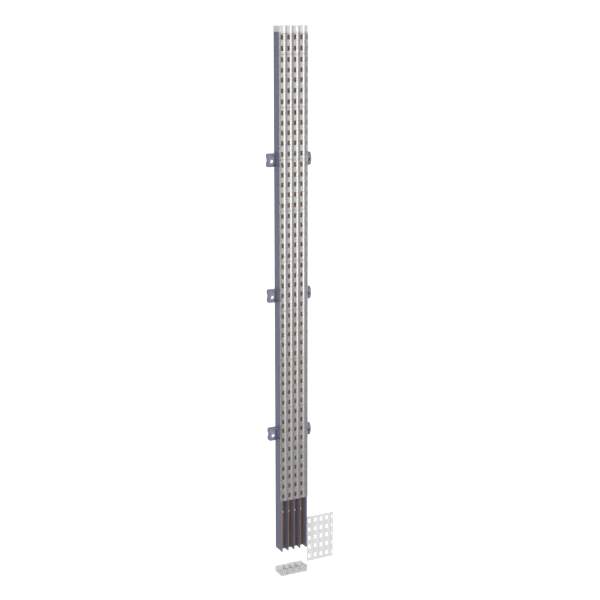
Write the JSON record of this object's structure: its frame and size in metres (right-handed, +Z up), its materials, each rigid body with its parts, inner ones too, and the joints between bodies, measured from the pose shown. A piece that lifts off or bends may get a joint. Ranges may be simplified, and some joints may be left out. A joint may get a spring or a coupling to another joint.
{
  "type": "insulated busbar trunking",
  "caption": "Long insulated channel holding copper bars behind clip-on slotted covers, with fixing lugs; one cover and one end cap taken off and laid beside it.",
  "frame": {"origin": "middle of the housing's back face, on the surface it lies on", "axes": "+X across the poles, +Y along the trunking to the fitted end cap, +Z up from the back to the slotted front"},
  "size_m": [0.1982, 1.461, 0.0413],
  "materials": {
    "housing": "satin slate grey insulating plastic",
    "copper": "drawn copper, dull",
    "cover": "frosted clear plastic, glossy front",
    "cap": "frosted clear plastic",
    "lug": "satin slate grey plastic"
  },
  "bodies": {
    "root": {"housing": "housing", "copper_bar_1": "copper", "copper_bar_2": "copper", "copper_bar_3": "copper", "copper_bar_4": "copper", "cover_1": "cover", "cover_2": "cover", "cover_3": "cover", "cover_4": "cover", "cover_5": "cover", "cover_6": "cover", "cover_7": "cover", "cover_8": "cover", "cover_9": "cover", "cover_cut": "cover", "cover_off": "cover", "end_cap": "cap", "end_cap_off": "cap", "lug_left_1": "lug", "lug_left_2": "lug", "lug_left_3": "lug", "lug_right_1": "lug", "lug_right_2": "lug", "lug_right_3": "lug"}
  },
  "joints": []
}
